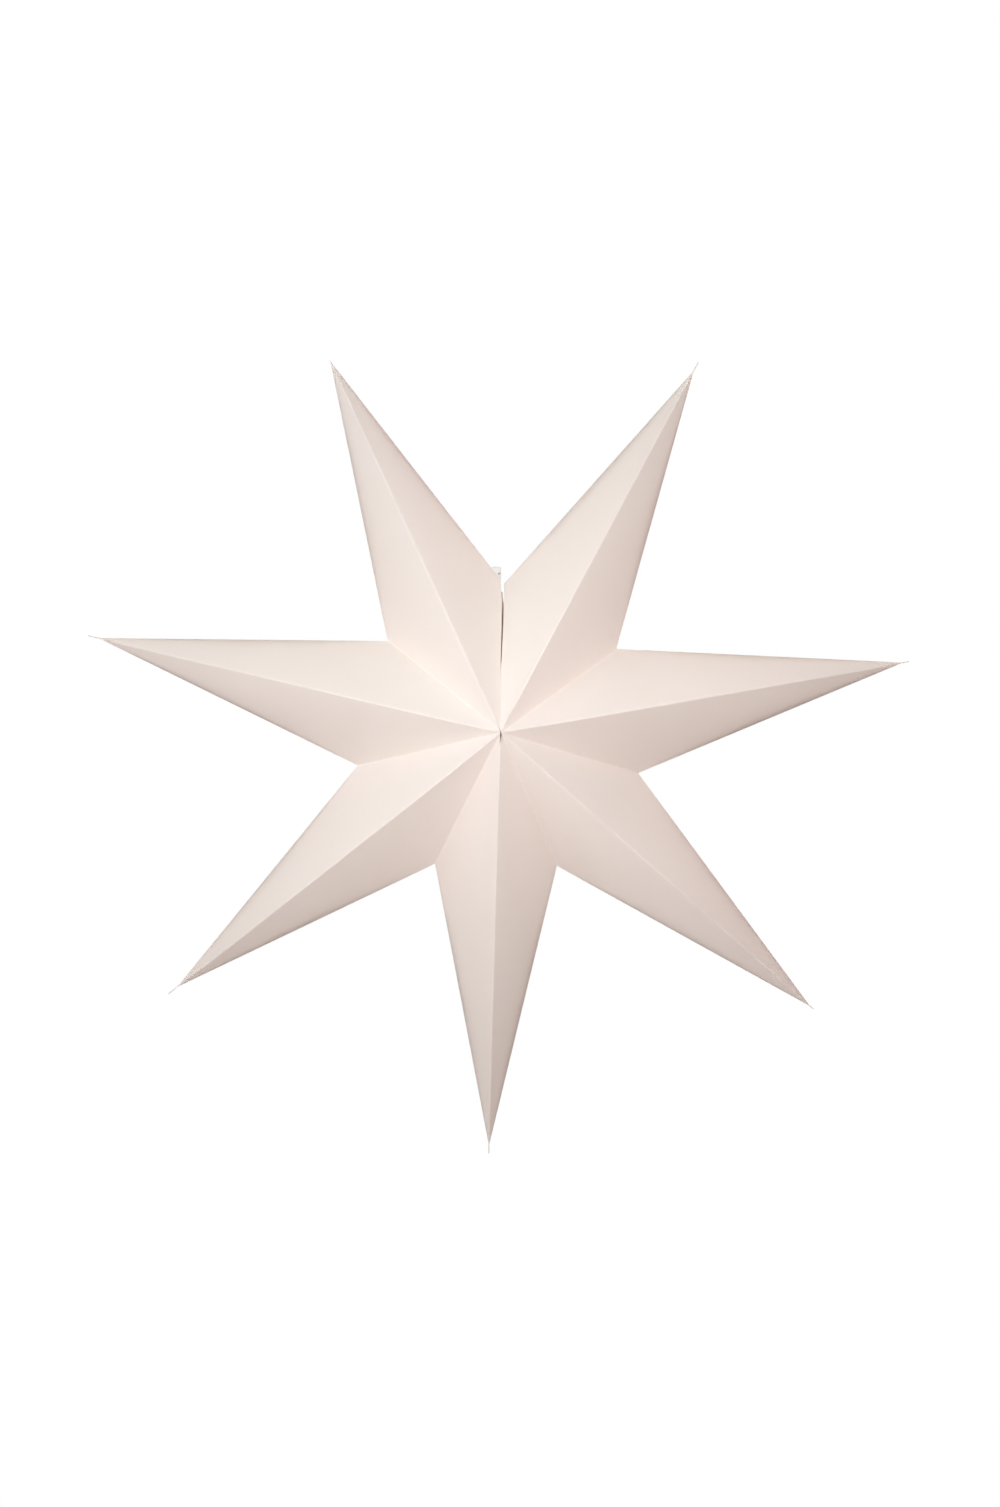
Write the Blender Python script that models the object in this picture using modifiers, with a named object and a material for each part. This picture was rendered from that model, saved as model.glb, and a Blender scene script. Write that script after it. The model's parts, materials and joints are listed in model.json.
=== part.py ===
"""Seven-point paper star shade that folds flat like a fan, hung by a punched card tab at its seam.

Metres, +Z up, seen from the front along +Y. The origin is the middle of the hanging hole.
Each point is a folded card with four flat panels, and the panels turn on its crease lines:
two ridges, front and rear, and two edges, where the card bows round the side of the point.
Side a of a point is the one met first when going round from the seam, anticlockwise.
"""

from math import asin, cos, degrees, radians, sin, tan

import bmesh
import bpy
from mathutils import Matrix, Vector

# Star
tip_radius = 0.300
valley_radius = 0.1056
half_depth = 0.073
card_thickness = 0.0003
crease_gap = 0.0003

# Bearings round the middle, in degrees anticlockwise from the right, of the seam and of the valleys
seam_bearing = 88.3
valley_bearings = (140.7, 192.7, 243.4, 293.0, 343.9, 396.1)
tip_radius_shares = (0.992, 1.002, 0.998, 1.001, 1.001, 0.992, 0.997)
point_count = len(tip_radius_shares)

# Each panel's outer face thins to nothing over this width beside a valley, so that the points close
skive_width = 0.008

# Glue flaps turned inwards at the valleys, in pairs, and single at the two sides of the seam
flap_width = 0.010
flap_start = 0.040
flap_fold_gap = 0.0005
flap_valley_cut = radians(31)
flap_centre_cut = radians(60)

# Adhesive dots that hold the seam's two flaps together
dot_radius = 0.004
dot_thickness = 0.00025
dot_gap = 0.0002
dot_place_share = 0.62

# Hanging tab: an ear in the notch over the seam, and a leg glued behind the first point
hole_radius = 0.0009
hole_above_valley = 0.0104
hole_left_of_valley = 0.0034
ear_above_hole = 0.0052
ear_below_hole = 0.0031
ear_right_of_hole = 0.00175
ear_behind_edge = 0.00065
leg_length = 0.0080
hole_sides = 24
cut_overrun = 0.002

CARD = ("card", (0.90, 0.84, 0.80), 0.85)
TAB_PAPER = ("tab_paper", (0.88, 0.88, 0.86), 0.80)
ADHESIVE = ("adhesive", (0.86, 0.85, 0.80), 0.55)


def start_scene():
    """Clears the scene and makes the collections for the parts and for the cutters."""
    for old in list(bpy.data.objects):
        bpy.data.objects.remove(old, do_unlink=True)
    made = []
    for name in ("paper_star_lantern", "cutters"):
        collection = bpy.data.collections.new(name)
        bpy.context.scene.collection.children.link(collection)
        made.append(collection)
    return made


def material(kind):
    """A Principled material for the kind, made once."""
    name, colour, roughness = kind
    if name in bpy.data.materials:
        return bpy.data.materials[name]
    new = bpy.data.materials.new(name)
    new.use_nodes = True
    shader = new.node_tree.nodes["Principled BSDF"]
    shader.inputs["Base Color"].default_value = (*colour, 1)
    shader.inputs["Roughness"].default_value = roughness
    shader.inputs["Metallic"].default_value = 0
    return new


def place(name, data, kind, location=(0, 0, 0)):
    obj = bpy.data.objects.new(name, data)
    obj.location = location
    data.materials.append(material(kind))
    parts.objects.link(obj)
    return obj


def out_from_middle(bearing, radius):
    return radius * Vector((cos(radians(bearing)), 0, sin(radians(bearing))))


def valley_point(number):
    """The end of a valley: 0 is the left side of the seam, and the last is its right side."""
    return middle + out_from_middle(bearings[number], valley_radius)


def tip_point(number):
    """The tip of point 1 to 7, half way between its two valleys."""
    bearing = (bearings[number - 1] + bearings[number]) / 2
    return middle + out_from_middle(bearing, tip_radius * tip_radius_shares[number - 1])


# The seam opens as wide as its flaps need where the closing dots lie between them
seam_gap = (card_thickness + dot_thickness + 2 * dot_gap) / dot_place_share
seam_half_angle = degrees(asin(seam_gap / 2 / valley_radius))
bearings = (seam_bearing + seam_half_angle, *valley_bearings, 360 + seam_bearing - seam_half_angle)

seam_valley = Vector((hole_left_of_valley, 0, -hole_above_valley))
middle = seam_valley - out_from_middle(bearings[0], valley_radius)
front_apex = middle + Vector((0, -half_depth, 0))
rear_apex = middle + Vector((0, half_depth, 0))
backwards = Vector((0, 1, 0))


def outward_normal(apex, tip, valley):
    normal = (tip - apex).cross(valley - apex).normalized()
    return normal if normal.dot(apex + tip + valley - 3 * middle) > 0 else -normal


def height_over(corner, line_a, line_b):
    """How far a triangle's corner lies from its opposite side."""
    along = (line_b - line_a).normalized()
    return (corner - line_a).cross(along).length


def set_in(apex, tip, valley, ridge_inset, edge_inset, valley_inset):
    """The triangle's corners with each side moved inwards by its own inset."""
    at_ridge = ridge_inset / height_over(valley, apex, tip)
    at_edge = edge_inset / height_over(apex, tip, valley)
    at_valley = valley_inset / height_over(tip, apex, valley)
    return [
        (1 - at_ridge - at_valley) * apex + at_ridge * valley + at_valley * tip,
        (1 - at_ridge - at_edge) * tip + at_ridge * valley + at_edge * apex,
        (1 - at_edge - at_valley) * valley + at_edge * apex + at_valley * tip,
    ]


def panel(name, apex, tip, valley, on_crease):
    """A flat card panel outside the plane of its three corners, with its origin on its crease."""
    inset = crease_gap / 2
    inner = set_in(apex, tip, valley, inset, inset, inset)
    outward = card_thickness * outward_normal(apex, tip, valley)
    outer = set_in(apex, tip, valley, inset, inset, inset + skive_width)
    shape = bmesh.new()
    face = shape.faces.new([shape.verts.new(corner - on_crease) for corner in inner])
    grown = bmesh.ops.extrude_face_region(shape, geom=[face])["geom"]
    for vert in [item for item in grown if isinstance(item, bmesh.types.BMVert)]:
        nearest = min(range(len(inner)), key=lambda n: (inner[n] - on_crease - vert.co).length)
        vert.co = outer[nearest] + outward - on_crease
    bmesh.ops.recalc_face_normals(shape, faces=shape.faces)
    mesh = bpy.data.meshes.new(name)
    shape.to_mesh(mesh)
    shape.free()
    return place(name, mesh, CARD, on_crease)


def flat_card(name, outline, thickness, stand, kind):
    """A flat outline in the XY plane of the stand matrix, as thick as asked about that plane."""
    curve = bpy.data.curves.new(name, "CURVE")
    curve.dimensions = "2D"
    curve.fill_mode = "BOTH"
    curve.extrude = thickness / 2
    spline = curve.splines.new("POLY")
    spline.points.add(len(outline) - 1)
    for point, (x, y) in zip(spline.points, outline):
        point.co = (x, y, 0, 1)
    spline.use_cyclic_u = True
    obj = place(name, curve, kind)
    obj.matrix_world = stand
    return obj


def stand_on(along, across, location):
    """A matrix with X along one direction, and Y as near another as a right angle allows."""
    x = along.normalized()
    y = (across - across.dot(x) * x).normalized()
    turn = Matrix((x, y, x.cross(y))).transposed().to_4x4()
    return Matrix.Translation(location) @ turn


def flap(name, apex, valley, thickness):
    """A glue flap beside the valley line from the apex, turned in towards the middle."""
    length = (valley - apex).length
    foot = flap_fold_gap
    top = flap_fold_gap + flap_width
    outline = [
        (flap_start, foot),
        (length - foot / tan(flap_valley_cut), foot),
        (length - top / tan(flap_valley_cut), top),
        (flap_start + flap_width / tan(flap_centre_cut), top),
    ]
    stand = stand_on(valley - apex, middle - apex, apex)
    return flat_card(name, outline, thickness, stand, CARD)


def closing_dot(name, apex, valley):
    """An adhesive dot on the seam's left flap, on the side that faces the right flap."""
    stand = stand_on(valley - apex, middle - apex, apex)
    length = (valley - apex).length
    across = flap_fold_gap + flap_width / 2
    to_right = (valley_point(point_count) - valley_point(0)).dot(stand.col[2].to_3d())
    side = 1 if to_right > 0 else -1
    lift = side * (card_thickness / 2 + dot_gap + dot_thickness / 2)
    mesh = bpy.data.meshes.new(name)
    shape = bmesh.new()
    bmesh.ops.create_cone(
        shape,
        cap_ends=True,
        segments=hole_sides,
        radius1=dot_radius,
        radius2=dot_radius,
        depth=dot_thickness,
    )
    shape.to_mesh(mesh)
    shape.free()
    obj = place(name, mesh, ADHESIVE)
    obj.matrix_world = stand @ Matrix.Translation((dot_place_share * length, across, lift))
    return obj


def hanging_tab():
    """A strip of stiff paper: its ear faces the front, and its leg lies on the first rear panel."""
    valley = valley_point(0)
    edge = (tip_point(1) - valley).normalized()
    outward = outward_normal(rear_apex, tip_point(1), valley)
    beside = edge.cross(backwards)
    beside = beside if beside.dot(outward) > 0 else -beside
    from_panel = card_thickness + crease_gap + card_thickness / 2
    bend_out = (from_panel - ear_behind_edge * outward.dot(backwards)) / outward.dot(beside)
    bend = valley + bend_out * beside + ear_behind_edge * backwards
    into_panel = outward.cross(edge)
    into_panel = into_panel if into_panel.dot(backwards) > 0 else -into_panel

    def on_bend(height):
        return bend + (height - bend.z) / edge.z * edge

    low = on_bend(-ear_below_hole)
    high = on_bend(ear_above_hole)
    ear = [
        Vector((ear_right_of_hole, ear_behind_edge, -ear_below_hole)),
        Vector((ear_right_of_hole, ear_behind_edge, ear_above_hole)),
    ]
    leg = [high + leg_length * into_panel, low + leg_length * into_panel]
    shape = bmesh.new()
    bend_verts = [shape.verts.new(low), shape.verts.new(high)]
    ear_verts = [shape.verts.new(corner) for corner in ear]
    leg_verts = [shape.verts.new(corner) for corner in leg]
    shape.faces.new([bend_verts[0], ear_verts[0], ear_verts[1], bend_verts[1]])
    shape.faces.new([bend_verts[0], bend_verts[1], leg_verts[0], leg_verts[1]])
    mesh = bpy.data.meshes.new("hanging_tab")
    shape.to_mesh(mesh)
    shape.free()
    tab = place("hanging_tab", mesh, TAB_PAPER)
    solid = tab.modifiers.new("card", "SOLIDIFY")
    solid.thickness = card_thickness
    solid.offset = 0
    solid.use_even_offset = True
    punch(tab)
    return tab


def punch(tab):
    """The round hanging hole through the tab's ear, at the origin."""
    mesh = bpy.data.meshes.new("hole_cutter")
    shape = bmesh.new()
    bmesh.ops.create_cone(
        shape,
        cap_ends=True,
        segments=hole_sides,
        radius1=hole_radius,
        radius2=hole_radius,
        depth=2 * (ear_behind_edge + cut_overrun),
        matrix=Matrix.Rotation(radians(90), 4, "X"),
    )
    shape.to_mesh(mesh)
    shape.free()
    cutter = bpy.data.objects.new("hole_cutter", mesh)
    cutters.objects.link(cutter)
    cutter.hide_render = True
    cutter.display_type = "WIRE"
    hole = tab.modifiers.new("hole", "BOOLEAN")
    hole.operation = "DIFFERENCE"
    hole.solver = "EXACT"
    hole.object = cutter


def point_of_star(number):
    """One point: four panels, from ridge to edge, front and rear, on both of its sides."""
    tip = tip_point(number)
    first_valley = valley_point(number - 1)
    last_valley = valley_point(number)
    name = f"point_{number}"
    panel(f"{name}_front_a", front_apex, tip, first_valley, front_apex)
    panel(f"{name}_front_b", front_apex, tip, last_valley, front_apex)
    panel(f"{name}_rear_a", rear_apex, tip, first_valley, first_valley)
    panel(f"{name}_rear_b", rear_apex, tip, last_valley, last_valley)


parts, cutters = start_scene()
for point_number in range(1, point_count + 1):
    point_of_star(point_number)
for valley_number in range(1, point_count):
    shared = valley_point(valley_number)
    flap(f"valley_{valley_number}_front_flap", front_apex, shared, 2 * card_thickness)
    flap(f"valley_{valley_number}_rear_flap", rear_apex, shared, 2 * card_thickness)
for side, valley_number in (("left", 0), ("right", point_count)):
    seam_end = valley_point(valley_number)
    flap(f"seam_flap_{side}_front", front_apex, seam_end, card_thickness)
    flap(f"seam_flap_{side}_rear", rear_apex, seam_end, card_thickness)
closing_dot("closing_dot_front", front_apex, valley_point(0))
closing_dot("closing_dot_rear", rear_apex, valley_point(0))
hanging_tab()
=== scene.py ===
"""Looks of the paper star lantern: bowed card sheets, creases, pinched tips, tab, light and camera.

Each point has four card sheets: front and rear, on its sides a and b. A sheet runs from its ridge to the
side of the point, where the front sheet and the rear sheet meet in one bow. The names follow the frame.
"""

import json
from math import radians

import bmesh
import bpy
import numpy as np
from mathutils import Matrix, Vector
from mathutils.geometry import intersect_line_line


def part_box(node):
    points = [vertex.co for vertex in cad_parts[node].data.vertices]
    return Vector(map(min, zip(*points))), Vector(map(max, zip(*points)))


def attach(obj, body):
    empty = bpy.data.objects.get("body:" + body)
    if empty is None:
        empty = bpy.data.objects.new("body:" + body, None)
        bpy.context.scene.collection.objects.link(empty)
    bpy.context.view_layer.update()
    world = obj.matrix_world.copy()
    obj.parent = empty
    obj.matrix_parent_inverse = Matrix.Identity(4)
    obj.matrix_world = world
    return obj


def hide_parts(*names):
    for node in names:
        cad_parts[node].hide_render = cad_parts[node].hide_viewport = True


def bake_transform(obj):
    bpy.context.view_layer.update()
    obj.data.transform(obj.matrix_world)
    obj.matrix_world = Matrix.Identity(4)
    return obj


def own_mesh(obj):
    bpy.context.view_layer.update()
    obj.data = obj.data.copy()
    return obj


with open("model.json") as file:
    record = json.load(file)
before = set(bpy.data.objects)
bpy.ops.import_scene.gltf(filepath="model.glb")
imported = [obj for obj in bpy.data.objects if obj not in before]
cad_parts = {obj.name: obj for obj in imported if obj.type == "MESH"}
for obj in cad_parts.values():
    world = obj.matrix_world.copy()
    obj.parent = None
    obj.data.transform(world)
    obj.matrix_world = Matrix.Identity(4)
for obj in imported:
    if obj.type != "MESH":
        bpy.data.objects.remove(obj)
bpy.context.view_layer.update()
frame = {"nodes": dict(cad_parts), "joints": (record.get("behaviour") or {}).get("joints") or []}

MM = 0.001
X = np.array((1.0, 0.0, 0.0))
Y = np.array((0.0, 1.0, 0.0))
POINTS = range(1, 8)
HALVES = ("front", "rear")

# Card: its thickness, its rim's, how far from a valley it is full, and its most as a share of a sheet's width
CARD = 0.3 * MM
RIM = 0.1 * MM
SKIVE = 8 * MM
TIP_THIN = 0.2

# The soft sheets' own corners beside the hinges' corners, right and up, in millimetres
VALLEY_SHIFTS = [(-2.2, 5.7), (-0.4, 0.1), (-0.9, -0.3), (-0.4, -0.6), (-0.3, 0.6), (-1.4, 0.2), (-1.2, -0.9),
                 (-1.3, 3.2)]
TIP_SHIFTS = [(0.5, 0.3), (-0.2, 0.0), (0.3, -0.3), (0.95, 0.0), (0.6, 0.35), (-0.2, -0.35), (0.2, -0.15)]

# Bow of a sheet: its profile's power, the share of the side's turn that it makes, how far from the valley it
# grows, and the growth that still shapes its profile
BOW_POWER = 5.5
SIDE_TURN = 0.85
BOW_FADE = 110 * MM
BOW_LEAST = 0.07

# Grid of a sheet: columns, which crowd towards the side, and rows by distance from the valley and the tip
COLUMNS = 32
COLUMN_POWER = 1.75
VALLEY_ROWS = [s * MM for s in (0, 0.5, 1, 1.8, 3, 5, 8, 11, 15, 19, 23, 28, 33, 38, 44, 52, 62)]
MID_ROWS = 9
TIP_ROWS = [s * MM for s in (34, 24, 16, 10, 6.5, 4, 2.5)]

# Slow waves of the card: height and length, where they begin and end along a point, and the sheets' phases
WAVE = 0.1 * MM
WAVE_LENGTH = 38 * MM
WAVE_START = 20 * MM
WAVE_END = 280 * MM
WAVE_FADE = 60 * MM
WAVE_STEP = 1.7
WAVE_PHASES = {"a": 0.9, "b": 2.3, "front": 0.0, "rear": 1.1}

# How far each front ridge lies beside the straight line between tip and centre, in millimetres, and how far
# from its two ends it reaches that
RIDGE_SHIFTS = [0.29, -0.47, -0.51, 0.24, 0.0, 0.5, -0.25]
RIDGE_TIP_FADE = 20 * MM
RIDGE_CENTRE_FADE = 60 * MM

# The ridges' round crease: its reach on a sheet, how far it is drawn in, and where it begins at the centre
ROUND = 1.1 * MM
ROUND_COLUMNS = 4
ROUND_SHARE = 0.35
ROUND_DEPTH = 0.365
ROUND_START = 2 * MM
ROUND_FADE = 10 * MM

# Blunt tips: the last stretch of a sheet, which keeps its width. One sheet of each point goes on past the tip
# as a whisker: how far, in millimetres, in how many rows, how fast it widens to one side, and its taper
PINCH = 1.9 * MM
WHISKERS = [1.0, 8.0, 8.0, 6.0, 3.0, 4.5, 7.0]
WHISKER_ROWS = 5
WHISKER_WIDEN = 2.5
WHISKER_TAPER = 0.25

# Seam: how far its two edges lie to the right of their straight lines, in millimetres, with the share of the
# way from the notch (0) to the centre (1), and how far over the sheets the shift spreads
SEAM_LEFT = [(0, 0), (0.077, 0.15), (0.13, 0.44), (0.175, 0.51), (0.365, 0.29), (0.437, 0), (0.555, -0.07),
             (0.72, 0), (1, 0)]
SEAM_RIGHT = [(0, 0), (0.056, 0.07), (0.116, 0.16), (0.154, -0.03), (0.235, 0.0), (0.33, -0.06),
              (0.39, -0.24), (0.465, -0.46), (0.51, -0.68), (0.54, -0.9), (0.58, -0.93), (0.645, -0.84),
              (0.78, -0.51), (0.91, -0.18), (1, 0)]
SEAM_SPREAD = 9 * MM

# Where the flaps' inner edges meet, to the right of the left edge's straight line, and how far apart they
# stay, in the same form, and how far the rear flaps' edges lie to the left of that
SEAM_MEET = [(0, 1.2), (0.077, 1.24), (0.123, 1.3), (0.133, 1.67), (0.149, 1.97), (0.169, 2.07),
             (0.252, 1.84), (0.346, 1.58), (0.402, 1.28), (0.476, 1.0), (0.522, 0.5), (0.552, 0.08),
             (0.72, 0.02), (1, 0)]
SEAM_OPEN = [(0.077, 1.1), (0.123, 1.05), (0.133, 0.65), (0.149, 0.33), (0.169, 0.08), (1, 0.08)]
SEAM_REAR_SHIFT = 0.4 * MM
SEAM_REAR_START = 0.17
SEAM_REAR_FADE = 0.05

# Seam flaps: width, share of the seam that they line, rows and columns, the power of their turn inwards, the
# share of their width that is thinner, their gaps to sheet and middle, and where they blend with the sheet
FLAP = 10 * MM
FLAP_START, FLAP_FINE, FLAP_END = 0.077, 0.2, 0.684
FLAP_FINE_ROWS = 14
FLAP_ROWS = 30
FLAP_COLUMNS = 12
FLAP_TURN = 1.5
FLAP_SKIVE = 0.2
FLAP_CLEAR = 0.03 * MM
FLAP_MIDDLE_GAP = 0.2 * MM
FLAP_LEAST = 0.3 * MM

# Adhesive dots: outline with its wobbles (size, waves round the dot, phase), dome, and place on the flap
DOT_RADIUS = 3.8 * MM
DOT_WOBBLES = [(0.12 * MM, 3, 0.4), (0.07 * MM, 5, 0.0)]
DOT_RINGS, DOT_TURNS = 7, 40
DOT_HEIGHT = 0.26 * MM
DOT_LEAST = 0.06 * MM
DOT_FALL = 0.75
DOT_CLEAR = 0.01 * MM
DOT_WELD = 0.01 * MM
DOT_FORWARD = 2.2 * MM
DOT_RIGHT = 1.9 * MM
DOT_FLAP_DEPTH = 1.215 * FLAP

# The front sheets' corners stand a little apart just under the centre: how far to the left and to the right,
# and how far this reaches, across and up, round a place under the centre
CENTRE_LEFT = 0.25 * MM
CENTRE_RIGHT = 0.75 * MM
CENTRE_FADE = (2.6 * MM, 3.2 * MM)
CENTRE_DROP = 1.8 * MM

# Tab: outline of its ear round the hole, right and up in millimetres. The strip is folded double at its top,
# so the layer behind is smaller, has a smaller hole and lies a little to the right and down.
EAR = [(-8.4, 5.1), (-4.0, 5.25), (0.55, 5.3), (0.95, 4.9), (1.0, 0.5), (1.05, -3.4), (0.2, -4.0),
       (-1.9, -3.2)]
EAR_THICK = 0.16 * MM
EAR_RINGS, EAR_TURNS = 9, 96
EAR_RING_POWER = 1.4
EAR_FRONT = {"depth": 0.5 * MM, "right": 0.0, "up": 0.0, "hole": 0.9 * MM, "grow": 0.0}
EAR_BEHIND = {"depth": 0.84 * MM, "right": 0.62 * MM, "up": -0.35 * MM, "hole": 0.36 * MM, "grow": -0.32 * MM}

# The ear's burr round the hole, the fold that draws its layers together at the top, and its curl on the left
BURR = 0.1 * MM
BURR_REACH = 0.25 * MM
FOLD_CLOSE = 0.17 * MM
FOLD_START = 4.2 * MM
FOLD_REACH = 1.0 * MM
CURL = 0.35 * MM
CURL_START = 3 * MM
CURL_REACH = 6 * MM

# The tab's leg: its corners at the ear and at the rear panel, in millimetres, its bow and its thickness
LEG_NEAR = [(-7.2, 1.0, 4.6), (-1.0, 0.7, -3.0)]
LEG_FAR = [(-12.3, 6.5, 1.95), (-5.95, 6.5, -6.35)]
LEG_ROWS, LEG_COLUMNS = 15, 9
LEG_BOW = 0.8 * MM
LEG_THICK = (0.105, 0.225, 0.135)

# Painted light on the paper: how wide the creases' painted highlights are, where they begin at the centre,
# how far the painted shade round the centre reaches, and how far the painted shade reaches round the tab's
# hole
RIDGE_BAND = 0.8 * MM
VALLEY_BAND = 1.4 * MM
SEAM_BAND = 2.6 * MM
CREASE_START = 40 * MM
CENTRE_SHADE_REACH = 48 * MM
HOLE_MARK = 2.0 * MM
HOLE_MARK_FADE = 0.9 * MM

# An edge sharper than this is drawn crisp
CRISP = radians(40)

# Colours, in pairs where clouds mix them
CARD_COLOURS = ((0.955, 0.88, 0.83), (0.95, 0.872, 0.818))
# The seam flaps' colours are warmer than the card's: painted warm shade for the light that bounces between
# the flaps in the slit
SEAM_WARM_SHADE_COLOURS = ((0.955, 0.84, 0.745), (0.95, 0.832, 0.735))
ADHESIVE_COLOURS = ((0.86, 0.85, 0.80), (0.82, 0.80, 0.74))
TAB_COLOURS = ((0.80, 0.80, 0.79), (0.77, 0.775, 0.77))
FLOOR_COLOURS = ((0.86, 0.855, 0.85), (0.88, 0.875, 0.87))
# Painted highlight on ridges and valleys, partly the real whitening of folded card
CREASE_HIGHLIGHT_AND_WHITENING = (0.97, 0.905, 0.86)
# Painted shade that darkens the card round the centre
CENTRE_SHADE = (0.91, 0.836, 0.79)
HOLE_SHADE = (0.40, 0.33, 0.32)
WHITE = (1.0, 1.0, 1.0)
BLACK = (0.0, 0.0, 0.0)
FIBRE = (0.985, 0.985, 0.985)

# Each mark's strength and colour. The card's marks paint light: shade round the centre, and highlights
# along ridges and valleys that are partly the real whitening of creased card. The tab's mark paints shade in
# its hole.
CARD_MARKS = [("centre_near", 0.95, CENTRE_SHADE), ("ridge_near", 0.35, CREASE_HIGHLIGHT_AND_WHITENING), ("valley_near", 0.3, CREASE_HIGHLIGHT_AND_WHITENING)]
TAB_MARKS = [("hole_near", 0.9, HOLE_SHADE)]

# Surfaces: noise in their colours and relief, and how matt they are
CLOUDS = {"scale": 26.0, "detail": 3.0}
CLOUD_RANGE = (0.35, 0.65)
FIBRES = {"scale": 1400.0, "detail": 2.0}
FIBRE_RANGE = (0.3, 0.7)
GRAIN = {"scale": 900.0, "detail": 6.0, "rough": 0.6}
GRAIN_STRENGTH = 0.12
GRAIN_HEIGHT = 0.4 * MM
FLOOR_CLOUDS = {"scale": 3.0, "detail": 4.0}
SPECULAR = 0.3
CARD_ROUGH = 0.82
ADHESIVE_ROUGH = 0.5
TAB_ROUGH = 0.8
FLOOR_ROUGH = 0.9

# Floor: height, half its width, how much of it is its own light, and where it fades to the white backdrop
FLOOR_Z = -1.30
FLOOR_REACH = 3.0
FLOOR_CELLS = 8
FLOOR_GLOW = 0.85
FLOOR_FADE = (1.3, 2.9)

# Each lamp: direction and distance from the star's middle, size, watts and colour
LAMPS = {
    "front_close": ((0, -1, 0), 0.42, 0.25, 0.28, (0.92, 0.98, 1.0)),
    "front_near": ((0, -1, 0), 0.6, 0.35, 1.7, (1.0, 0.965, 0.95)),
    "top_left_near": ((-0.66, -0.86, 0.72), 0.85, 0.5, 1.2, (0.86, 0.96, 1.0)),
    "top_right_near": ((0.66, -0.86, 0.72), 0.85, 0.5, 1.27, (0.96, 1.0, 0.99)),
    "left": ((-1.2, -0.9, 0.1), 1.3, 0.8, 4.3, (1.0, 0.94, 0.925)),
    "right": ((1.2, -0.9, 0.1), 1.3, 0.8, 1.2, (1.0, 0.55, 0.43)),
    "top": ((0, -0.25, 1), 3.4, 1.8, 2.9, (0.63, 1.0, 0.95)),
    "top_behind": ((0, 0.35, 1), 3.4, 1.8, 15.8, (1.0, 0.68, 0.49)),
    "left_behind": ((-0.8, 0.3, 0.6), 3.4, 1.8, 14.2, (1.0, 0.77, 0.63)),
    "right_behind": ((0.8, 0.3, 0.6), 3.4, 1.8, 23.7, (1.0, 0.69, 0.66)),
    "back": ((0, 1.2, 0.1), 1.2, 0.7, 9.0, (1.0, 0.97, 0.95)),
}

# Camera: straight in front of the star, as in the photo. A photo pixel is this large at the star, and the
# camera stands this many pixels to the right of its middle and above it.
PIXEL = 0.728 * MM
PHOTO_HEIGHT = 1507
CAMERA_RIGHT = -0.6
CAMERA_UP = -20.4
CAMERA_BACK = 3.0
SENSOR = 36


# Corners of the star

joints = {joint["name"]: joint for joint in frame["joints"]}


def spot(name):
    return Vector(joints[name]["pos_m"])


def along(name):
    return Vector(joints[name]["axis"]).normalized()


def crossing(ridge, edge):
    """Where the axis lines of a point's ridge and of its edge meet."""
    a, b = spot(ridge), spot(edge)
    return intersect_line_line(a, a + along(ridge), b, b + along(edge))[0]


def shifted(point, shift):
    return point + Vector((shift[0] * MM, 0, shift[1] * MM))


front_apex = spot("point_1_ridge")
rear_apex = spot("valley_1_rear_flap_fold")
middle = (front_apex + rear_apex) / 2
hinge_valleys = [spot("fan_fold")] + [spot(f"point_{n}_edge_b") for n in POINTS]
hinge_tips = [crossing(f"point_{n}_ridge", f"point_{n}_edge_b") for n in POINTS]
valleys = [shifted(p, shift) for p, shift in zip(hinge_valleys, VALLEY_SHIFTS)]
tips = dict(zip(POINTS, (shifted(p, shift) for p, shift in zip(hinge_tips, TIP_SHIFTS))))


# Meshes

def collect(name, verts, faces, attributes=()):
    """A mesh object from plain lists, with smooth faces and named values on its vertices."""
    mesh = bpy.data.meshes.new(name)
    mesh.from_pydata([tuple(v) for v in verts], [], faces)
    mesh.validate()
    mesh.shade_smooth()
    for label, values in attributes:
        layer = mesh.attributes.new(label, "FLOAT", "POINT")
        layer.data.foreach_set("value", np.asarray(values, dtype=np.float32))
    obj = bpy.data.objects.new(name, mesh)
    bpy.context.scene.collection.objects.link(obj)
    return obj


def fix_normals(obj, weld=0.0):
    """Turns the faces outwards and keeps the rims crisp."""
    shape = bmesh.new()
    shape.from_mesh(obj.data)
    if weld:
        bmesh.ops.remove_doubles(shape, verts=shape.verts, dist=weld)
    bmesh.ops.recalc_face_normals(shape, faces=shape.faces)
    for edge in shape.edges:
        if len(edge.link_faces) == 2 and edge.calc_face_angle(0) > CRISP:
            edge.smooth = False
    shape.to_mesh(obj.data)
    shape.free()


def closed_sheet(outer, inner):
    """Vertices and faces of a closed sheet between two grids of points."""
    rows, cols = outer.shape[:2]
    grid = np.arange(rows * cols).reshape(rows, cols)
    count = grid.size
    verts = np.concatenate([outer.reshape(-1, 3), inner.reshape(-1, 3)])
    quads = np.stack([grid[:-1, :-1], grid[:-1, 1:], grid[1:, 1:], grid[1:, :-1]], axis=-1)
    faces = []
    for quad in quads.reshape(-1, 4).tolist():
        faces.append(quad)
        faces.append([v + count for v in reversed(quad)])
    rim = np.concatenate([grid[0], grid[1:, -1], grid[-1, -2::-1], grid[-2:0:-1, 0]]).tolist()
    for a, b in zip(rim, rim[1:] + rim[:1]):
        faces.append([b, a, a + count, b + count])
    return verts, faces


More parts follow.
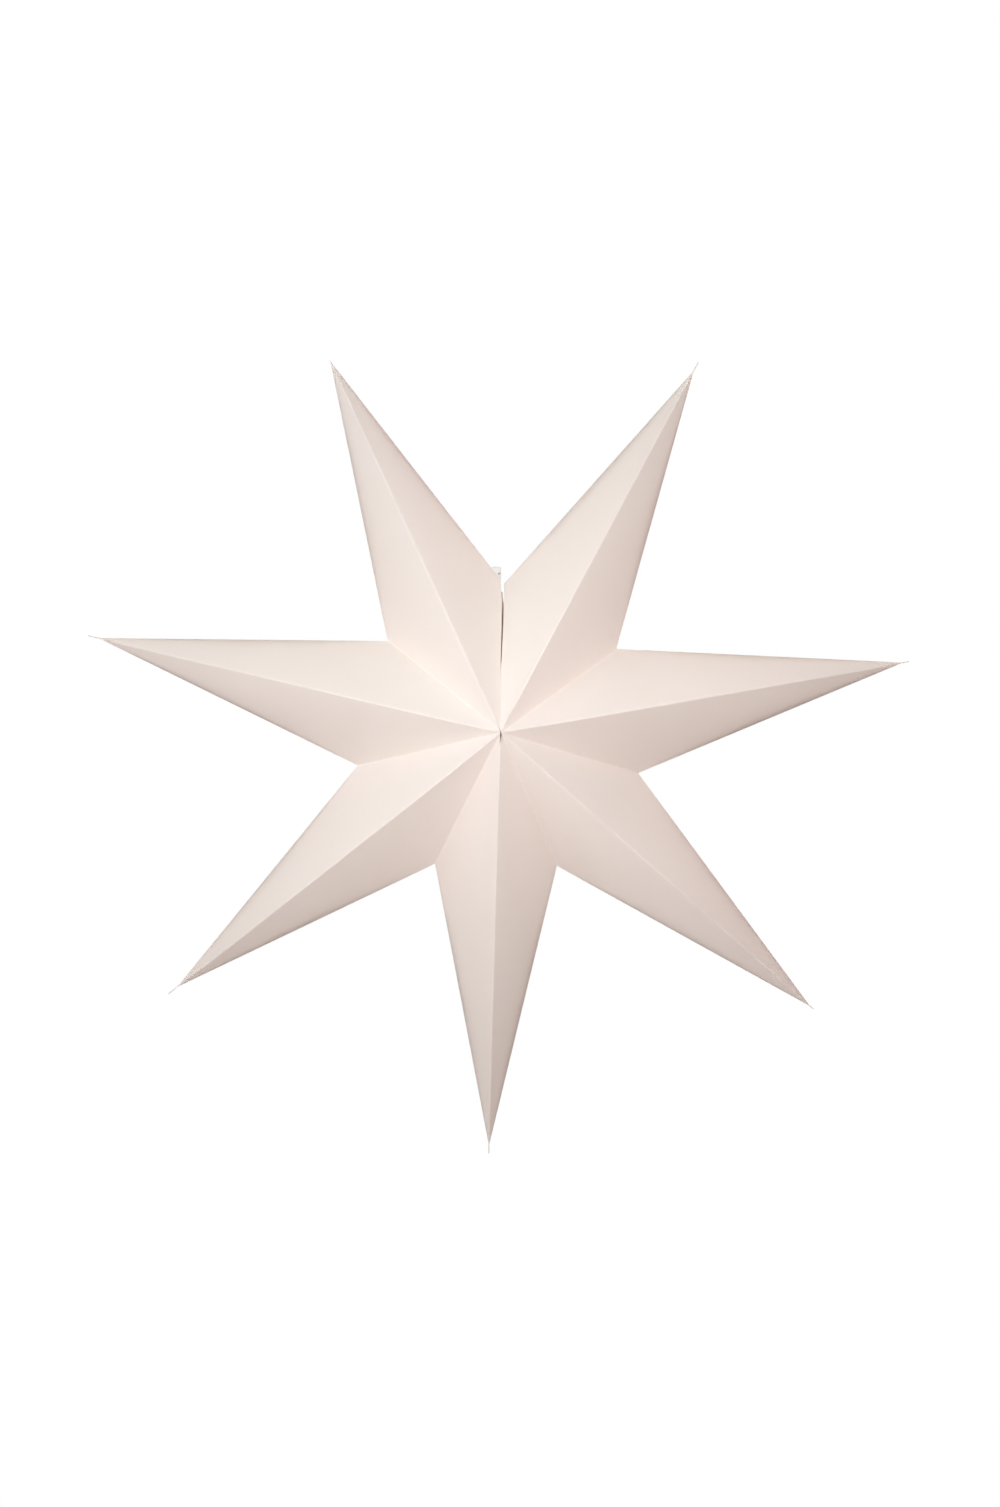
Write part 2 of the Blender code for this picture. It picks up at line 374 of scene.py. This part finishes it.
def disc_faces(base, rings, turns, rims):
    """Faces of two layers of rings of points, which are joined along the rings named as rims."""
    size = (rings + 1) * turns
    faces = []
    for ring in range(rings):
        for turn in range(turns):
            a, b = base + ring * turns + turn, base + ring * turns + (turn + 1) % turns
            faces.append([a, b, b + turns, a + turns])
            faces.append([v + size for v in (a + turns, b + turns, b, a)])
    for ring in rims:
        for turn in range(turns):
            a, b = base + ring * turns + turn, base + ring * turns + (turn + 1) % turns
            faces.append([a, b, b + size, a + size])
    return faces


def unit(vector):
    return vector / np.linalg.norm(vector, axis=-1, keepdims=True)


def smooth(t):
    """A soft step from 0 to 1."""
    t = np.clip(t, 0, 1)
    return t * t * (3 - 2 * t)


def bend_at(table, share):
    """A seam table's value, in metres, at this share of the way from the notch to the centre."""
    return np.interp(share, [row[0] for row in table], [row[1] * MM for row in table])


# Card sheets

class Sheet:
    """Corners and directions of a sheet."""

    def __init__(self, number, side, half):
        self.number, self.side, self.half = number, side, half
        self.forward = -Y if half == "front" else Y
        self.apex = np.array(front_apex if half == "front" else rear_apex)
        self.tip = np.array(tips[number])
        self.valley = np.array(valleys[number - 1 if side == "a" else number])
        self.to_apex = unit(self.apex - self.tip)

        # Square to the flat sheet, outwards, and square to its ridge, towards the valley
        normal = unit(np.cross(self.apex - self.tip, self.valley - self.apex))
        outwards = normal @ (self.apex + self.tip + self.valley - 3 * np.array(middle)) > 0
        self.normal = normal if outwards else -normal
        to_valley = self.valley - self.tip
        across = np.cross(self.normal, self.to_apex)
        self.across = across if across @ to_valley > 0 else -across
        self.spread = np.arctan2(to_valley @ self.across, to_valley @ self.to_apex)

        # The valley's line, the tip's distance from it, and the direction from it to the tip
        self.line = unit(self.valley - self.apex)
        self.height = np.linalg.norm(np.cross(self.tip - self.apex, self.line))
        self.foot = unit((self.tip - self.apex) - ((self.tip - self.apex) @ self.line) * self.line)

        # Square to the side, in the star's middle plane
        out = np.cross(unit(to_valley), Y)
        self.out = unit(out if out @ self.normal > 0 else -out)

        # Square to the ridge, outwards, in the plane through it that holds the Y axis
        self.ridge_out = unit(np.cross(np.cross(self.to_apex, self.forward), self.to_apex))


def row_shares(height, ridge):
    """Each row's share of the way from the tip to the valley's line, for a ridge of this length."""
    near_valley = [1 - s / height for s in VALLEY_ROWS]
    near_tip = [s / ridge for s in TIP_ROWS]
    between = np.linspace(near_valley[-1], near_tip[0], MID_ROWS + 2)[1:-1]
    return np.array([*near_valley, *between, *near_tip])


def sheet_bow(sheet, x, away):
    """How far a sheet bows out at each grid point, as a share of its distance from the tip."""
    cosine = sheet.normal @ sheet.out
    slope = SIDE_TURN * np.sqrt(1 - cosine**2) / cosine
    fade = smooth(away / BOW_FADE)
    power = 1 + (BOW_POWER - 1) / np.maximum(fade, BOW_LEAST)
    return slope * sheet.spread * (x - x ** power[:, None]) * fade[:, None] / (BOW_POWER - 1)


def waves(sheet, away, x):
    """Slow waves of a sheet, in metres along its normal. They die out at its ridge, side, valley and tip.

    The numbers in the sum of two waves only make them uneven.
    """
    phase = sheet.number * WAVE_STEP + WAVE_PHASES[sheet.side] + WAVE_PHASES[sheet.half]
    u = away[:, None] / WAVE_LENGTH
    wave = np.sin(u + 2.1 * x + phase) + 0.6 * np.sin(1.7 * u - 3.3 * x + 2.0 * phase)
    ends = smooth(away / WAVE_START) * smooth((WAVE_END - away) / WAVE_FADE)
    return WAVE * wave * np.sin(np.pi * x) ** 2 * ends[:, None]


def seam_shift(sheet, points, away):
    """Moves the sheets beside the seam so that their edges follow the seam's own lines."""
    table = {(1, "a"): SEAM_LEFT, (7, "b"): SEAM_RIGHT}.get((sheet.number, sheet.side))
    if table is None:
        return 0
    share = np.clip((sheet.valley[2] - points[..., 2]) / (sheet.valley[2] - sheet.apex[2]), 0, 1)
    shift = bend_at(table, share) * np.exp(-((away / SEAM_SPREAD) ** 2))[:, None]
    return shift[..., None] * X


def centre_shift(sheet, points):
    """Draws a front sheet's corner a little away from the centre, to its own side."""
    if sheet.half == "rear":
        return 0
    beside = points - sheet.apex
    near = (beside[..., 0] / CENTRE_FADE[0]) ** 2 + ((beside[..., 2] + CENTRE_DROP) / CENTRE_FADE[1]) ** 2
    gap = CENTRE_RIGHT if sheet.valley[0] > sheet.apex[0] else -CENTRE_LEFT
    return (gap * np.exp(-near))[..., None] * X


def ridge_shift(sheet, radius, x):
    """Moves a front ridge a little to one side, with the sheets beside it."""
    if sheet.half == "rear":
        return 0
    beside = unit(np.array((-sheet.to_apex[2], 0.0, sheet.to_apex[0])))
    from_tip = radius[:, :1]
    ends = smooth(from_tip / RIDGE_TIP_FADE) * smooth((from_tip[0] - from_tip) / RIDGE_CENTRE_FADE)
    shift = RIDGE_SHIFTS[sheet.number - 1] * MM * ends * (1 - x) ** 2
    return shift[..., None] * beside


def pinched_rows(sheet, ray, bow):
    """A sheet's last rows, which make a blunt tip. One sheet goes on past it as a narrow whisker."""
    axis = unit(np.array(middle) - sheet.tip)
    pinched = PINCH * (ray + bow[:, None] * sheet.normal)
    pinched = pinched - (pinched @ axis)[:, None] * axis
    lateral = unit(np.cross(axis, Y))
    breadth = pinched @ lateral
    carries = (sheet.side, sheet.half) == ("a", "front")
    length = WHISKERS[sheet.number - 1] * MM if carries else 0.0
    rows = []
    for share in np.linspace(0, 1, WHISKER_ROWS + 1):
        back = PINCH * (1 - share) - share * length
        row = sheet.tip + back * axis + pinched * (1 - WHISKER_TAPER * share)
        if carries:
            row += min(1.0, WHISKER_WIDEN * share) * (breadth - breadth[-1])[:, None] * lateral
        rows.append(row)
    return np.array(rows)


def round_ridge(sheet, points):
    """Adds columns beside the ridge and draws it in, so that the crease is round."""
    ridge = points[:, :1]
    step = points[:, 1] - points[:, 0]
    gap = np.linalg.norm(step, axis=-1)
    extra = []
    for j in range(1, ROUND_COLUMNS + 1):
        share = np.minimum(j / (ROUND_COLUMNS - 1) * ROUND / gap, j / (ROUND_COLUMNS + 1))
        extra.append(points[:, 0] + step * share[:, None])
    points = np.concatenate([ridge, np.stack(extra, axis=1), points[:, 1:]], axis=1)
    from_ridge = np.linalg.norm(points - ridge, axis=-1)
    reach = np.minimum(ROUND, ROUND_SHARE * from_ridge[:, -1:])
    crisp = smooth((np.linalg.norm(ridge - sheet.apex, axis=-1) - ROUND_START) / ROUND_FADE)
    drop = ROUND_DEPTH * reach * np.clip(1 - from_ridge / reach, 0, 1) ** 2 * crisp
    return points - drop[..., None] * sheet.ridge_out


def sheet_grid(sheet):
    """A sheet's points in rows from the valley to the tip, with each row's distance from valley and tip.

    Along a row, x runs from 0 at the ridge to 1 at the side.
    """
    x = 1 - (1 - np.linspace(0, 1, COLUMNS + 1)) ** COLUMN_POWER
    angle = x * sheet.spread
    ray = np.cos(angle)[:, None] * sheet.to_apex + np.sin(angle)[:, None] * sheet.across
    full = sheet.height / -(ray @ sheet.foot)
    share = row_shares(sheet.height, full[0])
    radius = share[:, None] * full
    away = (1 - share) * sheet.height
    bow = sheet_bow(sheet, x, away)
    lift = radius * bow + waves(sheet, away, x)
    points = sheet.tip + radius[..., None] * ray + lift[..., None] * sheet.normal
    points = points + seam_shift(sheet, points, away)
    points = points + centre_shift(sheet, points)
    points = points + ridge_shift(sheet, radius, x)
    pinched = pinched_rows(sheet, ray, bow[-1])
    points = np.concatenate([points, pinched], axis=0)
    away = np.concatenate([away, np.full(len(pinched), sheet.height)])
    from_tip = np.concatenate([radius[:, -1], np.full(len(pinched), PINCH)])
    return round_ridge(sheet, points), away, from_tip


def sheet_normals(sheet, points):
    """Directions in which a sheet is thick. Along its rims they suit the sheets that it meets there."""
    normals = unit(np.cross(np.gradient(points, axis=0), np.gradient(points, axis=1)))
    normals = np.where((normals @ sheet.normal)[..., None] < 0, -normals, normals)
    normals[:, 0] = sheet.ridge_out / (normals[:, 0] @ sheet.ridge_out)[:, None]
    normals[:, -1] = sheet.out / (normals[:, -1] @ sheet.out)[:, None]
    normals[0, :] = unit(np.cross(sheet.line, np.cross(sheet.forward, sheet.line)))
    return normals


def sheet_marks(sheet, points, away):
    """How near each point is to the ridge, to the valley and to the centre, from 0 to 1."""
    from_tip = points - sheet.tip
    beside = from_tip - (from_tip @ sheet.to_apex)[..., None] * sheet.to_apex
    from_ridge = np.linalg.norm(beside, axis=-1).reshape(-1)
    from_apex = np.linalg.norm(points - sheet.apex, axis=-1).reshape(-1)
    crisp = smooth(from_apex / CREASE_START)
    band = SEAM_BAND if (sheet.number, sheet.side) == (7, "b") else VALLEY_BAND
    return [
        ("ridge_near", np.exp(-((from_ridge / RIDGE_BAND) ** 2)) * crisp),
        ("valley_near", np.repeat(np.exp(-((away / band) ** 4)), points.shape[1]) * crisp),
        ("centre_near", np.exp(-((from_apex / CENTRE_SHADE_REACH) ** 2))),
    ]


def card_sheet(number, side, half):
    """One of a point's four sheets."""
    sheet = Sheet(number, side, half)
    points, away, from_tip = sheet_grid(sheet)
    thick = RIM + (CARD - RIM) * np.clip(away / SKIVE, 0, 1)
    thick = np.minimum(thick, TIP_THIN * from_tip * sheet.spread)
    verts, faces = closed_sheet(points, points - thick[:, None, None] * sheet_normals(sheet, points))
    marks = [(label, np.tile(values, 2)) for label, values in sheet_marks(sheet, points, away)]
    obj = collect(f"card_{number}_{half}_{side}", verts, faces, marks)
    fix_normals(obj)
    body = f"point_{number}_{half}_{side}"
    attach(obj, body)
    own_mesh(obj)
    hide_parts(body)
    obj.data.materials.append(paper)


# Seam flaps and adhesive dots

def flap_turn(share):
    """How far a flap has turned towards its inner edge, at this share of its width."""
    return 1 - (1 - share) ** FLAP_TURN


def seam_flap(side, half):
    """The flap folded inwards along the seam's left or right edge, front or rear."""
    left, front = side == "left", half == "front"
    inward = 1 if front else -1
    apex = np.array(front_apex if front else rear_apex)
    valley = np.array(valleys[0] if left else valleys[-1])
    start = np.array(valleys[0])
    near_notch = np.linspace(FLAP_START, FLAP_FINE, FLAP_FINE_ROWS)
    share = np.concatenate([near_notch, np.linspace(FLAP_FINE, FLAP_END, FLAP_ROWS)[1:]])

    # The fold follows the seam's own line, and the inner edge reaches the other flap's
    z = start[2] + (apex[2] - start[2]) * share
    own = np.clip((valley[2] - z) / (valley[2] - apex[2]), 0, 1)
    fold = valley + (apex - valley) * own[:, None]
    fold[:, 0] += bend_at(SEAM_LEFT if left else SEAM_RIGHT, own)
    slant = np.linalg.norm((apex - valley)[1:]) / abs(apex[2] - valley[2])
    room = abs(fold[:, 1] - middle.y) - FLAP_MIDDLE_GAP
    deep = np.minimum(FLAP * slant, np.maximum(room, FLAP_LEAST))
    inner_x = start[0] + (apex[0] - start[0]) * share + bend_at(SEAM_MEET, share)
    if not left:
        inner_x = inner_x + bend_at(SEAM_OPEN, share)
    if not front:
        inner_x = inner_x - SEAM_REAR_SHIFT * smooth((share - SEAM_REAR_START) / SEAM_REAR_FADE)

    width = np.linspace(0, 1, FLAP_COLUMNS)
    face = np.empty((len(share), len(width), 3))
    face[..., 0] = fold[:, :1] + (inner_x - fold[:, 0])[:, None] * flap_turn(width)
    face[..., 1] = fold[:, 1:2] + inward * (FLAP_CLEAR + deep[:, None] * width)
    face[..., 2] = fold[:, 2:]
    thick = (RIM + (CARD - RIM) * np.clip(width / FLAP_SKIVE, 0, 1))[:, None] * X
    verts, faces = closed_sheet(face, face - thick if left else face + thick)
    name = f"seam_flap_{side}_{half}"
    obj = collect("leaf_" + name, verts, faces)
    fix_normals(obj)
    across = unit(np.array((0.0, -(apex - valley)[2], (apex - valley)[1])))
    if across[1] * inward < 0:
        across = -across
    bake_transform(obj)
    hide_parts(name)
    obj.data.materials.append(seam_warm_shade_paper)


def closing_dot(half):
    """A soft round dot of adhesive on the left seam flap."""
    name = f"closing_dot_{half}"
    low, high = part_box(name)
    centre = (np.array(low) + np.array(high)) / 2
    centre[1] -= DOT_FORWARD if half == "front" else -DOT_FORWARD
    apex = np.array(front_apex if half == "front" else rear_apex)
    start = np.array(valleys[0])
    rear_shift = 0 if half == "front" else SEAM_REAR_SHIFT

    def on_flap(y, z):
        """Where the flap's face lies in x, and the room between the flaps there."""
        share = (start[2] - z) / (start[2] - apex[2])
        straight = start + (apex - start) * share
        fold_x = straight[0] + bend_at(SEAM_LEFT, share)
        meet = straight[0] + bend_at(SEAM_MEET, share) - rear_shift
        right = max(straight[0] + DOT_RIGHT * (1 - share), meet)
        turned = flap_turn(np.clip(abs(y - straight[1]) / DOT_FLAP_DEPTH, 0, 1))
        return fold_x + (meet - fold_x) * turned, (1 - turned) * (right - fold_x)

    verts = []
    for domed in (False, True):
        for ring in range(DOT_RINGS + 1):
            share = ring / DOT_RINGS
            for turn in range(DOT_TURNS):
                angle = 2 * np.pi * turn / DOT_TURNS
                wobble = sum(size * np.sin(count * angle + phase) for size, count, phase in DOT_WOBBLES)
                radius = share * (DOT_RADIUS + wobble)
                y = centre[1] + radius * np.cos(angle)
                z = centre[2] + radius * np.sin(angle)
                x, room = on_flap(y, z)
                dome = min(DOT_HEIGHT, max(room, DOT_LEAST)) * (1 - DOT_FALL * share**4) if domed else 0.0
                verts.append((x + DOT_CLEAR + dome, y, z))
    obj = collect(f"dot_{half}", verts, disc_faces(0, DOT_RINGS, DOT_TURNS, [DOT_RINGS]))
    fix_normals(obj, weld=DOT_WELD)
    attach(obj, f"seam_flap_left_{half}")
    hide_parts(name)
    obj.data.materials.append(adhesive)


# Hanging tab

def cross_2d(a, b):
    return a[0] * b[1] - a[1] * b[0]


def ear_reach(angle):
    """Distance from the hole's centre to the ear's outline in a direction."""
    parallel, slack = 1e-12, 1e-9
    d = np.array((np.cos(angle), np.sin(angle)))
    outline = [np.array(corner) * MM for corner in EAR]
    best = 0
    for a, b in zip(outline, outline[1:] + outline[:1]):
        edge = b - a
        det = cross_2d(edge, d)
        if abs(det) < parallel:
            continue
        t = cross_2d(edge, a) / det
        u = cross_2d(d, a) / det
        if t > 0 and -slack <= u <= 1 + slack:
            best = max(best, t)
    return best


def ear_layer(behind, depth, right, up, hole, grow):
    """A layer of the ear: its points in rings round the hole, and how near the hole's shade they are."""
    verts, near_hole = [], []
    for back in (False, True):
        for ring in range(EAR_RINGS + 1):
            share = (ring / EAR_RINGS) ** EAR_RING_POWER
            for turn in range(EAR_TURNS):
                angle = 2 * np.pi * turn / EAR_TURNS
                radius = hole + (ear_reach(angle) + grow - hole) * share
                x = radius * np.cos(angle) + right
                z = radius * np.sin(angle) + up
                burr = 0.0 if behind else BURR * np.exp(-(((radius - hole) / BURR_REACH) ** 2))
                closed = FOLD_CLOSE * smooth((z - FOLD_START) / FOLD_REACH)
                curl = CURL * smooth((-x - CURL_START) / CURL_REACH)
                y = depth - burr + (-closed if behind else closed) + curl + (EAR_THICK if back else 0.0)
                verts.append((x, y, z))
                shade = smooth((HOLE_MARK - np.hypot(x, z)) / HOLE_MARK_FADE)
                near_hole.append(float(shade) if behind else 0.0)
    return verts, near_hole


def leg():
    """The strip's leg, which goes back from the ear to the rear panel."""
    near, far = np.array(LEG_NEAR) * MM, np.array(LEG_FAR) * MM
    t = np.linspace(0, 1, LEG_ROWS)[:, None, None]
    u = np.linspace(0, 1, LEG_COLUMNS)[None, :, None]
    a = near[0] + (near[1] - near[0]) * u
    b = far[0] + (far[1] - far[0]) * u
    outer = a + (b - a) * t + LEG_BOW * np.sin(np.pi * t) * Y
    return closed_sheet(outer, outer + np.array(LEG_THICK) * MM)


def hanging_tab():
    """A strip of thin card folded double at its top, punched through, with its leg going back."""
    verts, faces, near_hole = [], [], []
    for behind, layer in ((False, EAR_FRONT), (True, EAR_BEHIND)):
        faces.extend(disc_faces(len(verts), EAR_RINGS, EAR_TURNS, [0, EAR_RINGS]))
        layer_verts, layer_near_hole = ear_layer(behind, **layer)
        verts.extend(layer_verts)
        near_hole.extend(layer_near_hole)
    leg_verts, leg_faces = leg()
    faces.extend([v + len(verts) for v in face] for face in leg_faces)
    verts.extend(tuple(v) for v in leg_verts)
    near_hole.extend([0.0] * len(leg_verts))
    obj = collect("tab_strip", verts, faces, [("hole_near", near_hole)])
    fix_normals(obj)
    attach(obj, "point_1_rear_a")
    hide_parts("hanging_tab")
    obj.data.materials.append(tab_paper)


# Materials

def put(tree, socket, value):
    """Links an output to a socket, or sets the socket's colour or number."""
    if isinstance(value, bpy.types.NodeSocket):
        tree.links.new(value, socket)
    elif isinstance(value, tuple):
        socket.default_value = (*value, 1)
    else:
        socket.default_value = value


def add(tree, kind, settings=(), **inputs):
    """A node with its settings, and with its inputs by name."""
    node = tree.nodes.new(kind)
    for key, value in dict(settings).items():
        setattr(node, key, value)
    for key, value in inputs.items():
        put(tree, node.inputs[key.replace("_", " ")], value)
    return node


# The sockets of a mix node that take a factor and two colours, and the one that gives a colour
MIX_INPUTS = (0, 6, 7)
MIX_OUTPUT = 2


def mix_colour(tree, factor, a, b, blend="MIX"):
    """A colour mix. Each of a and b is a socket or a colour."""
    node = add(tree, "ShaderNodeMix", {"data_type": "RGBA", "blend_type": blend})
    for index, value in zip(MIX_INPUTS, (factor, a, b)):
        put(tree, node.inputs[index], value)
    return node.outputs[MIX_OUTPUT]


def mix_shader(tree, factor, a, b):
    node = tree.nodes.new("ShaderNodeMixShader")
    for socket, value in zip(node.inputs, (factor, a, b)):
        put(tree, socket, value)
    return node.outputs[0]


def combine(tree, operation, a, b):
    node = add(tree, "ShaderNodeMath", {"operation": operation})
    put(tree, node.inputs[0], a)
    put(tree, node.inputs[1], b)
    return node.outputs[0]


def ramp(tree, value, low, high, to_low=0.0, to_high=1.0, kind="LINEAR"):
    """Maps low and high to two other values."""
    limits = {"From_Min": low, "From_Max": high, "To_Min": to_low, "To_Max": to_high}
    node = add(tree, "ShaderNodeMapRange", {"interpolation_type": kind}, Value=value, **limits)
    return node.outputs["Result"]


def noise(tree, coords, scale, detail, rough=0.55):
    node = add(tree, "ShaderNodeTexNoise", Scale=scale, Detail=detail, Roughness=rough, Vector=coords)
    return node.outputs["Fac"]


def new_material(name):
    """A material with its node tree, its shader and the object's coordinates."""
    material = bpy.data.materials.new(name)
    material.use_nodes = True
    tree = material.node_tree
    coords = tree.nodes.new("ShaderNodeTexCoord").outputs["Object"]
    return material, tree, tree.nodes["Principled BSDF"], coords


def paper_material(name, colours, roughness, marks=()):
    """Matt card: soft clouds, fibres, and marks of painted highlight and painted shade, each with a strength
    and a colour of its own.
    """
    material, tree, shader, coords = new_material(name)
    clouds = ramp(tree, noise(tree, coords, **CLOUDS), *CLOUD_RANGE)
    fibres = ramp(tree, noise(tree, coords, **FIBRES), *FIBRE_RANGE)
    colour = mix_colour(tree, clouds, *colours)
    colour = mix_colour(tree, 1.0, colour, mix_colour(tree, fibres, FIBRE, WHITE), "MULTIPLY")
    for label, strength, tint in marks:
        mark = add(tree, "ShaderNodeAttribute", {"attribute_name": label}).outputs["Fac"]
        colour = mix_colour(tree, ramp(tree, mark, 0.0, 1.0, to_high=strength), colour, tint)
    grain = noise(tree, coords, **GRAIN)
    bump = add(tree, "ShaderNodeBump", Strength=GRAIN_STRENGTH, Distance=GRAIN_HEIGHT, Height=grain)
    put(tree, shader.inputs["Base Color"], colour)
    put(tree, shader.inputs["Roughness"], roughness)
    put(tree, shader.inputs["Specular IOR Level"], SPECULAR)
    put(tree, shader.inputs["Normal"], bump.outputs["Normal"])
    return material


def seen_directly(tree):
    """One for rays from the camera, a gloss or a clear body, and nothing for the rays that light."""
    path = tree.nodes.new("ShaderNodeLightPath").outputs
    seen = combine(tree, "MAXIMUM", path["Is Camera Ray"], path["Is Glossy Ray"])
    return combine(tree, "MAXIMUM", seen, path["Is Transmission Ray"])


def floor_material():
    """A pale floor that takes a faint shadow and fades into the white backdrop."""
    material, tree, shader, coords = new_material("floor_pale")
    colour = mix_colour(tree, noise(tree, coords, **FLOOR_CLOUDS), *FLOOR_COLOURS)
    put(tree, shader.inputs["Base Color"], colour)
    put(tree, shader.inputs["Roughness"], FLOOR_ROUGH)
    reach = add(tree, "ShaderNodeVectorMath", {"operation": "LENGTH"})
    put(tree, reach.inputs[0], coords)
    far = ramp(tree, reach.outputs["Value"], *FLOOR_FADE, kind="SMOOTHSTEP")
    glow = add(tree, "ShaderNodeEmission", Color=mix_colour(tree, far, colour, WHITE))
    share = combine(tree, "MULTIPLY", seen_directly(tree), ramp(tree, far, 0.0, 1.0, to_low=FLOOR_GLOW))
    blend = mix_shader(tree, share, shader.outputs[0], glow.outputs[0])
    put(tree, tree.nodes["Material Output"].inputs["Surface"], blend)
    return material


# Floor, light and camera

def floor():
    mesh = bpy.data.meshes.new("floor")
    shape = bmesh.new()
    bmesh.ops.create_grid(shape, x_segments=FLOOR_CELLS, y_segments=FLOOR_CELLS, size=FLOOR_REACH)
    shape.to_mesh(mesh)
    shape.free()
    mesh.materials.append(floor_material())
    obj = bpy.data.objects.new("floor", mesh)
    obj.location = (middle.x, 0, FLOOR_Z)
    bpy.context.scene.collection.objects.link(obj)


def lamp(name, direction, distance, size, power, colour):
    """A square soft box that faces the star's middle."""
    data = bpy.data.lights.new(name, "AREA")
    data.shape = "SQUARE"
    data.size = size
    data.energy = power
    data.color = colour
    obj = bpy.data.objects.new(name, data)
    obj.location = middle + distance * Vector(direction).normalized()
    obj.rotation_mode = "QUATERNION"
    obj.rotation_quaternion = (middle - obj.location).to_track_quat("-Z", "Y")
    bpy.context.scene.collection.objects.link(obj)


def backdrop():
    """A white world that gives no light of its own, so that the lamps alone light the star."""
    world = bpy.data.worlds.new("studio")
    bpy.context.scene.world = world
    world.use_nodes = True
    tree = world.node_tree
    dark = tree.nodes["Background"]
    put(tree, dark.inputs["Color"], BLACK)
    white = add(tree, "ShaderNodeBackground", Color=WHITE)
    mixed = mix_shader(tree, seen_directly(tree), dark.outputs[0], white.outputs[0])
    put(tree, tree.nodes["World Output"].inputs["Surface"], mixed)


def camera():
    data = bpy.data.cameras.new("camera")
    data.sensor_width = SENSOR
    data.lens = SENSOR * CAMERA_BACK / (PHOTO_HEIGHT * PIXEL)
    obj = bpy.data.objects.new("camera", data)
    obj.location = (middle.x + CAMERA_RIGHT * PIXEL, -CAMERA_BACK, middle.z + CAMERA_UP * PIXEL)
    obj.rotation_euler = (radians(90), 0, 0)
    bpy.context.scene.collection.objects.link(obj)
    bpy.context.scene.camera = obj
    bpy.context.scene.view_settings.view_transform = "Standard"


paper = paper_material("star_card", CARD_COLOURS, CARD_ROUGH, CARD_MARKS)
seam_warm_shade_paper = paper_material("seam_card_warm_shade", SEAM_WARM_SHADE_COLOURS, CARD_ROUGH)
adhesive = paper_material("adhesive_dot", ADHESIVE_COLOURS, ADHESIVE_ROUGH)
tab_paper = paper_material("tab_card", TAB_COLOURS, TAB_ROUGH, TAB_MARKS)

for number in POINTS:
    for side in "ab":
        for half in HALVES:
            card_sheet(number, side, half)
for half in HALVES:
    for side in ("left", "right"):
        seam_flap(side, half)
    closing_dot(half)
hanging_tab()

# The valleys' flaps keep the CAD's shape
for node in frame["nodes"].values():
    if not node.hide_render:
        node.data.materials.clear()
        node.data.materials.append(paper)

floor()
for name, values in LAMPS.items():
    lamp(name, *values)
backdrop()
camera()
